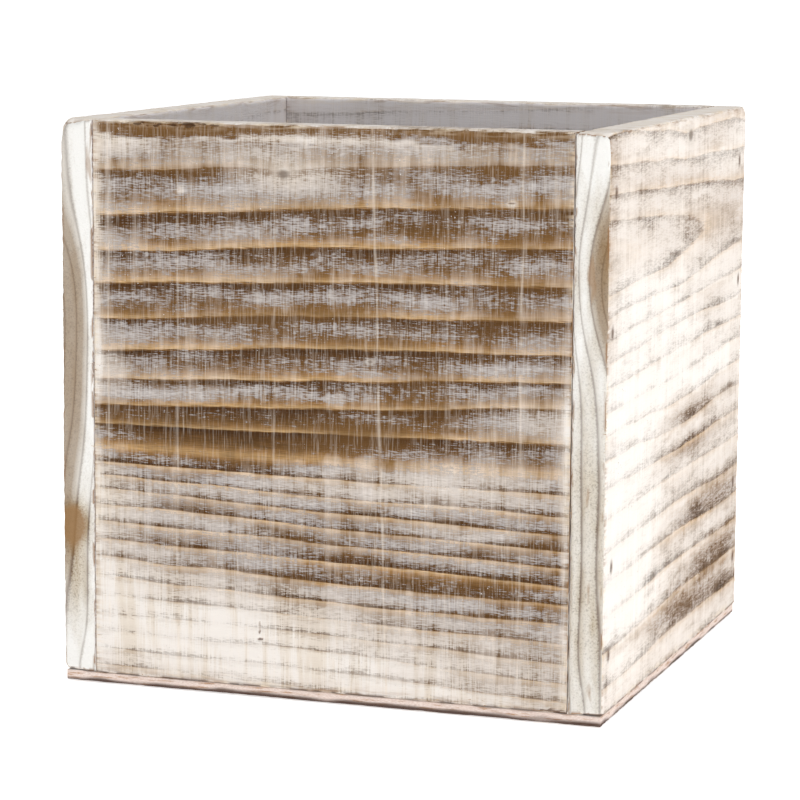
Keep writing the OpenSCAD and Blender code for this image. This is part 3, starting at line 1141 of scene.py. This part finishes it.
# %% Make the finishes
# upright marks that the brush and the saw left: place along, lean, half-width, strength
FRONT_STROKES = [
    (-62.2, 0, 0.6, 0.35), (-42.2, 0, 0.6, 0.3), (-14.7, 0, 0.5, 0.25),
    (14.6, -0.033, 0.6, 0.38), (33, 0, 0.5, 0.2), (53, 0, 0.6, 0.35),
]
BACK_STROKES = [(-50, 0.02, 0.6, 0.35), (-8, -0.01, 0.5, 0.3), (38, 0.015, 0.6, 0.4)]
WHITER = dict(
    thin=0.06, bands=0.9, crisp=(1.11, 1.45),
    cream=(238, 223, 208), pale=(242, 236, 230), dull=(204, 190, 178),
)
INNER = dict(level=0.42, thin=0.12, crisp=(1.15, 1.4), cream=(218, 207, 200), pale=(228, 222, 222))
front_face = long_grain("front_whitewash", strokes=FRONT_STROKES)
back_face = long_grain("back_whitewash", strokes=BACK_STROKES)
side_face = long_grain("side_whitewash", **WHITER)
panel_face = long_grain("panel_wood", level=-0.1)
panel_edge = ply_edge("panel_edge")
painted_end = end_grain("painted_end")
painted_edge = long_grain("whitewashed_edge", level=0.5)
inner_face = long_grain("inner_whitewash", **INNER)
FACES = dict(
    front_board=front_face, back_board=back_face, right_side_board=side_face,
    left_side_board=side_face, bottom_panel=panel_face,
)
print("the front's finish has", len(front_face.node_tree.nodes), "nodes")

# %% [markdown]
# ## Knocks
# These are the marks that make it this box and no other, so they are listed one by one: bare strips under the
# front rim, a filled dent, chips down the outer arrises and blunted corners. Each is given from its board's
# middle, in mm. Scattering them at random would spread the damage where nothing ever touches.

# %% Chips and blunt corners
# chips: middle (along, up, out) and half-lengths
KNOCKS = {
    "front_board": [
        (-43, 75.2, 0.95, 17, 2.6, 1.5), (41, 75.6, 0.95, 18, 1.7, 1.45), (4, 75.6, 0.8, 6, 1, 1.2),
        (50, 56.5, 0.5, 1.4, 1.0, 1.0), (-41.4, 57, 0.3, 0.9, 0.8, 0.7),
        (-18.7, -62, 0.1, 0.9, 0.6, 0.9), (-18.9, -59, 0.1, 0.35, 2.6, 0.45),
        (-10, -2, 0.25, 0.7, 1.0, 0.5), (63, -74.6, 0.6, 5, 1.1, 1.0),
    ],
    "right_side_board": [
        (-77.3, 76.7, 1.3, 3.2, 3.5, 2.9), (-76.6, 37, 0.7, 1.3, 2.4, 1.4),
        (-76.5, 8, 0.6, 1.1, 1.8, 1.2), (-76.6, -64, 0.9, 1.6, 2.4, 1.6),
        (-76.4, -30, 0.5, 0.9, 3.0, 0.9), (-76.5, 58, 0.4, 1.0, 2.0, 0.9),
        (-76.4, -46, 0.6, 0.8, 1.3, 0.9), (-76.5, -53, 0.7, 0.8, 0.8, 0.9),
        (-76.4, -57, 0.6, 0.7, 1.5, 0.8), (-76.1, 67, -3.2, 0.5, 0.6, 0.5),
        (-76.1, 41, -3.0, 0.6, 1.3, 0.5), (-76.1, 30, -2.4, 0.5, 0.6, 0.4),
        (77.4, 76.2, 1.2, 2.8, 2.6, 2.6), (20, 75.7, 0.8, 9, 1.1, 1.3), (-40, 75.6, 0.7, 5, 0.9, 1.1),
    ],
    "left_side_board": [
        (78.0, 77.2, 1.5, 3.9, 3.9, 3.3), (77.4, -76.2, 1.0, 2.8, 2.6, 2.4),
        (76.5, 36, 0.6, 1.1, 2.0, 1.3), (76.5, 1, 0.6, 1.0, 1.6, 1.2),
        (-77.0, 76.4, 1.2, 2.8, 2.8, 2.4), (-20, 75.7, 0.8, 12, 1.1, 1.3),
    ],
    "back_board": [
        (30, 75.8, 0.9, 14, 1.2, 1.4), (-50, 75.7, 0.8, 8, 1.0, 1.2), (-12, 30, 0.4, 1.3, 1.0, 0.8),
    ],
    "bottom_panel": [
        (-76.6, 76.8, 1.2, 2.6, 2.8, 2.2), (76.8, 76.6, 1.2, 2.4, 2.4, 2.2),
        (30, 76.8, 1.0, 4, 1.2, 1.3), (-34, 76.7, 1.0, 3, 1.1, 1.2), (76.6, 20, 1.0, 1.2, 4, 1.3),
    ],
}
# corners that are knocked rounder: along, up, radius
CORNERS = dict(
    left_side_board=[(76, 75, 3.4), (76, -75, 1.8), (-76, 75, 2.4)],
    right_side_board=[(-76, 75, 2.6), (76, 75, 2.4), (-76, -75, 1.4)],
)
print("chips:", {board: len(knocks) for board, knocks in KNOCKS.items()})

# %% [markdown]
# ## The five boards
# Each board is made, given its finishes, and put in the place of its CAD node. Its butted ends
# and its foot stay sharp and its rim is well rounded. The grid is finest where the front is
# looked at closely and widest under the box, which keeps each mesh under 200,000 triangles.

# %% Make the boards
BUTT, TOP, FOOT, OUTER, PANEL = 0.15, 0.95, 0.18, 0.85, 0.5  # edge radii in mm
PANEL_INSET = 0.45  # the panel was cut a hair small
STEPS = dict(
    front_board=0.56, back_board=0.56, right_side_board=0.64, left_side_board=0.64, bottom_panel=0.7,
)
RADII = dict(
    front_board=(BUTT, TOP, FOOT), back_board=(BUTT, TOP, FOOT), right_side_board=(OUTER, TOP, FOOT),
    left_side_board=(OUTER, TOP, FOOT), bottom_panel=(PANEL, PANEL, PANEL),
)
worn_boards = {}
for number, board in enumerate(BOARDS):
    step = STEPS[board]
    inset = PANEL_INSET if board == "bottom_panel" else 0.0
    corners = CORNERS.get(board, ())
    made = board_mesh(board, step, RADII[board], KNOCKS[board], corners, inset, seed=number + 3)
    end_and_edge = (panel_edge, panel_edge) if board == "bottom_panel" else (painted_end, painted_edge)
    for finish in (FACES[board], *end_and_edge, inner_face):
        made.data.materials.append(finish)
    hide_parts(board)
    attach(made, "box")
    worn_boards[board] = made
print(len(worn_boards), "boards in place")

# %% [markdown]
# ## Steel and plastic
# The brads, the staples and the liner have the right shape already, so they keep their CAD
# meshes and only get a better finish. The brads have rusted under the paint, the staples are
# bright zinc, and the liner is black plastic. Each has two tones of one colour, in small
# patches, because nothing that is handled stays even.

# %% Steel and plastic
def plain(name, colour, rough, metallic):
    """A finish of one colour with darker patches about 2 mm across."""
    coat = Finish(name)
    patch = coat.noise(coat.object_place(), (0.002, 0.002, 0.002), detail=4)
    darker = [int(c * 0.7) for c in colour]
    mottled = coat.blend(coat.spread(patch, 0.35, 0.65), tint(*colour), tint(*darker))
    return coat.done(mottled, rough, patch, depth=0.00002, metallic=metallic)


KEPT = {
    "brad_": plain("rusty_brad_steel", (104, 74, 54), 0.7, 0.5),
    "staple_": plain("zinc_staple_steel", (176, 178, 182), 0.4, 0.9),
    "liner": plain("liner_plastic", (40, 42, 42), 0.45, 0.0),
}
for start, finish in KEPT.items():
    kept = [node for name, node in nodes.items() if name.startswith(start)]
    for node in kept:
        node.data.materials.clear()
        node.data.materials.append(finish)
    print(finish.name, "on", len(kept), "nodes")

# %% [markdown]
# ## Splinters and crumbs
# Sawn edges are never clean: short fibres stand off them, and the wash dries in little crumbs.
# There are hundreds of both, so Geometry Nodes scatter them over the finished boards, thickest
# where the board's own fields say. Placing them in Python would work too, but the tree does it
# in one step and its inputs can be tried out by hand. A splinter is a thin cone laid along the
# grain, and a crumb is a small ball. Both have only a few faces.

# %% The tree's inputs and its small shapes
INPUTS = (
    ("Board", "Geometry"), ("Weight", "String"), ("Density", "Float"), ("Length", "Float"),
    ("Width", "Float"), ("Direction", "Vector"), ("Seed", "Int"), ("Finish", "Material"),
)


def small_shape(tree, given, shape):
    """One splinter or one crumb."""
    if shape == "crumb":
        return add_node(tree, "GeometryNodeMeshIcoSphere", {"Radius": given["Width"], "Subdivisions": 1})
    tip = add_node(tree, "ShaderNodeMath", {0: given["Width"], 1: 0.25}, operation="MULTIPLY")
    return add_node(tree, "GeometryNodeMeshCone", {
        "Vertices": 5, "Radius Top": tip.outputs[0],
        "Radius Bottom": given["Width"], "Depth": given["Length"],
    })


def leaning(tree, given):
    """A turn that lays a shape along the grain, a little off it, some one way and some the other."""
    lean = add_node(tree, "FunctionNodeRandomValue", {
        "Min": (-0.35, -0.35, -0.35), "Max": (0.35, 0.35, 0.35), "Seed": given["Seed"],
    }, data_type="FLOAT_VECTOR")
    side = add_node(tree, "FunctionNodeRandomValue", {2: -1.0, 3: 1.0, "Seed": 5}, data_type="FLOAT")
    side = add_node(tree, "ShaderNodeMath", {0: side.outputs[1]}, operation="SIGN")
    run = add_node(tree, "ShaderNodeVectorMath", {
        0: given["Direction"], "Scale": side.outputs[0],
    }, operation="SCALE")
    run = add_node(tree, "ShaderNodeVectorMath", {0: run.outputs[0], 1: lean.outputs[0]}, operation="ADD")
    return add_node(tree, "FunctionNodeAlignRotationToVector", {"Vector": run.outputs[0]}, axis="Z")


print("inputs:", [label for label, kind in INPUTS])


# %% A tree that scatters small pieces
def scatter_tree(name, shape):
    """Nodes that stand a small shape, "splinter" or "crumb", on random spots of a board, and the
    identifier of each of their inputs."""
    tree = bpy.data.node_groups.new(name, "GeometryNodeTree")
    sockets = {}
    for label, kind in INPUTS:
        sockets[label] = tree.interface.new_socket(label, in_out="INPUT", socket_type="NodeSocket" + kind)
    tree.interface.new_socket("Pieces", in_out="OUTPUT", socket_type="NodeSocketGeometry")
    given = add_node(tree, "NodeGroupInput", {}).outputs

    weight = add_node(tree, "GeometryNodeInputNamedAttribute", {"Name": given["Weight"]}, data_type="FLOAT")
    density = add_node(tree, "ShaderNodeMath", {
        0: given["Density"], 1: weight.outputs[0],
    }, operation="MULTIPLY")
    spots = add_node(tree, "GeometryNodeDistributePointsOnFaces", {
        "Mesh": given["Board"], "Density": density.outputs[0], "Seed": given["Seed"],
    })
    scale = add_node(tree, "FunctionNodeRandomValue", {
        "Min": (0.35, 0.35, 0.3), "Max": (1, 1, 1), "Seed": 11,
    }, data_type="FLOAT_VECTOR")
    placed = add_node(tree, "GeometryNodeInstanceOnPoints", {
        "Points": spots.outputs["Points"], "Instance": small_shape(tree, given, shape).outputs["Mesh"],
        "Rotation": leaning(tree, given).outputs[0], "Scale": scale.outputs[0],
    })
    real = add_node(tree, "GeometryNodeRealizeInstances", {"Geometry": placed.outputs[0]})
    painted = add_node(tree, "GeometryNodeSetMaterial", {
        "Geometry": real.outputs[0], "Material": given["Finish"],
    })
    add_node(tree, "NodeGroupOutput", {"Pieces": painted.outputs[0]})
    return tree, {label: socket.identifier for label, socket in sockets.items()}


splinter_tree = scatter_tree("splinters", "splinter")
crumb_tree = scatter_tree("wash_crumbs", "crumb")
print("trees of", len(splinter_tree[0].nodes), "and", len(crumb_tree[0].nodes), "nodes")

# %% [markdown]
# ## From tree to mesh
# The tree runs as a modifier on a stand-in object that borrows the board's mesh. Its inputs are set by their
# identifiers before anything is evaluated. The result is then taken as a plain mesh and the stand-in is thrown
# away, so that nothing live is left.

# %% Take the result
def scattered(name, board_object, tree_and_inputs, values):
    """A plain mesh of the pieces that the tree scatters over a board."""
    tree, identifiers = tree_and_inputs
    carrier = bpy.data.objects.new("carrier", board_object.data)
    bpy.context.scene.collection.objects.link(carrier)
    modifier = carrier.modifiers.new("scatter", "NODES")
    modifier.node_group = tree
    for label, value in values.items():
        modifier[identifiers[label]] = value
    depsgraph = bpy.context.evaluated_depsgraph_get()
    mesh = bpy.data.meshes.new_from_object(carrier.evaluated_get(depsgraph), depsgraph=depsgraph)
    carrier.modifiers.clear()
    bpy.data.objects.remove(carrier)
    mesh.name = name
    made = bpy.data.objects.new(name, mesh)
    bpy.context.scene.collection.objects.link(made)
    return made


def speck_finish(name, colour, darker):
    """Two tones in patches about as large as a crumb."""
    coat = Finish(name)
    patch = coat.noise(coat.object_place(), (0.0012, 0.0012, 0.0012), detail=3)
    tone = coat.blend(coat.spread(patch, 0.35, 0.65), tint(*darker), tint(*colour))
    return coat.done(tone, 0.8, patch, depth=0.00003)


fibre_finish = speck_finish("torn_fibre", (214, 190, 158), (150, 112, 74))
wash_finish = speck_finish("dried_wash", (232, 228, 224), (196, 188, 182))
print("finishes:", fibre_finish.name, "and", wash_finish.name)

# %% [markdown]
# ## Scatter them
# Splinters go where an edge is frayed and crumbs where the wash is thick and loose. Density is
# in pieces per square metre where the weight is 1. The panel gets none: its edge is too thin and
# its face is never seen.

# %% Scatter over the four walls
SPLINTERS = dict(Weight="frayed", Density=9e5, Length=1.7 * MM, Width=0.12 * MM, Finish=fibre_finish)
CRUMBS = dict(Weight="crumbly", Density=1.6e5, Length=0.3 * MM, Width=0.2 * MM, Finish=wash_finish)
KINDS = (("splinters", splinter_tree, SPLINTERS, 0), ("crumbs", crumb_tree, CRUMBS, 20))
for number, board in enumerate([name for name in BOARDS if name != "bottom_panel"]):
    grain_way = tuple(float(v) for v in BOARDS[board]["along"])
    for kind, tree_and_inputs, sizes, first_seed in KINDS:
        values = dict(sizes, Direction=grain_way, Seed=number + first_seed)
        made = scattered(board.replace("board", kind), worn_boards[board], tree_and_inputs, values)
        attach(made, "box")
        print(made.name, "has", len(made.data.polygons), "faces")

# %% [markdown]
# ## Floor
# The box stands on a plain pale floor that runs on past everything the camera sees. It glows
# a little, which keeps it white behind the box without stronger lamps that would bleach the
# paint. It lies a hair below the box so that the two surfaces never share a plane.

# %% Floor
FLOOR_REACH = 30.0
FLOOR_DROP = 0.0002


def floor_finish():
    """Nearly white, and glowing a little."""
    coat = Finish("pale_floor")
    patch = coat.noise(coat.object_place(), (0.4, 0.4, 0.4), detail=2)
    colour = coat.blend(coat.spread(patch, 0.4, 0.6), tint(250, 250, 250), tint(252, 252, 252))
    shader = coat.node("ShaderNodeBsdfPrincipled", {
        "Base Color": colour, "Roughness": 0.9, "Specular IOR Level": 0.0,
        "Emission Color": (1, 1, 1, 1), "Emission Strength": 0.62,
    })
    coat.node("ShaderNodeOutputMaterial", {"Surface": shader.outputs[0]})
    return coat.material


floor_mesh = bpy.data.meshes.new("floor")
floor_corners = [(x * FLOOR_REACH, y * FLOOR_REACH, 0) for x, y in ((-1, -1), (1, -1), (1, 1), (-1, 1))]
floor_mesh.from_pydata(floor_corners, [], [(0, 1, 2, 3)])
floor_mesh.materials.append(floor_finish())
floor = bpy.data.objects.new("floor", floor_mesh)
floor.location.z = -FLOOR_DROP
bpy.context.scene.collection.objects.link(floor)
floor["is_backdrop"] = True
print("floor laid", FLOOR_DROP / MM, "mm below the box")

# %% [markdown]
# ## Light
# Large lamps give soft light with hardly a shadow. The strongest stands high on the right, so
# the right side is the brightest face and the saw marks on the front still show. The world adds
# an even white from all round. The Standard view keeps white paint white.

# %% Lights
def soft_light(name, place, size, power, target=(0, 0, 0.08)):
    """A rectangular lamp at place, turned toward the box."""
    lamp_data = bpy.data.lights.new(name, "AREA")
    lamp_data.shape = "RECTANGLE"
    lamp_data.size, lamp_data.size_y = size
    lamp_data.energy = power
    lamp = bpy.data.objects.new(name, lamp_data)
    lamp.location = place
    lamp.rotation_euler = (Vector(target) - Vector(place)).to_track_quat("-Z", "Y").to_euler()
    bpy.context.scene.collection.objects.link(lamp)
    return lamp


lamps = [
    soft_light("key", (1.3, -0.5, 0.9), (0.9, 0.9), 8),
    soft_light("front_fill", (-0.5, -1.5, 0.8), (1.2, 1.0), 3.6),
    soft_light("overhead", (0.1, 0.1, 1.4), (1.0, 1.0), 3.6),
]
world = bpy.data.worlds.new("studio")
world.use_nodes = True
world.node_tree.nodes["Background"].inputs["Color"].default_value = (1, 1, 1, 1)
world.node_tree.nodes["Background"].inputs["Strength"].default_value = 0.55
bpy.context.scene.world = world
bpy.context.scene.view_settings.view_transform = "Standard"
print("lamps:", {lamp.name: round(lamp.data.energy, 1) for lamp in lamps})

# %% [markdown]
# ## Camera
# The camera stands about a metre off with a long lens, a little above the rim and to the right
# of the front. A long lens keeps the box's upright edges nearly parallel.

# %% Camera
camera_data = bpy.data.cameras.new("camera")
camera_data.lens, camera_data.sensor_width = 139.0, 36.0
camera_data.clip_end = 100
camera = bpy.data.objects.new("camera", camera_data)
camera.location = (0.2785, -0.8256, 0.1977)
downward, sideways, roll = math.radians(8.27), math.radians(19.0), math.radians(0.42)
aim = Euler((math.pi / 2 - downward, 0, sideways)).to_matrix() @ Matrix.Rotation(roll, 3, "Z")
camera.rotation_euler = aim.to_euler()
bpy.context.scene.collection.objects.link(camera)
bpy.context.scene.camera = camera
print("camera", round(camera.location.length, 2), "m from the box's foot")

# %% [markdown] ## Sizes The last cell prints the CAD model's box and the finished model's box side by side, because the looks must not change the size.

# %% Finish
sizes = {"cad": [list(corner) for corner in cad_bounds], "visual": [list(corner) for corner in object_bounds()]}
print("sizes written:", sizes)
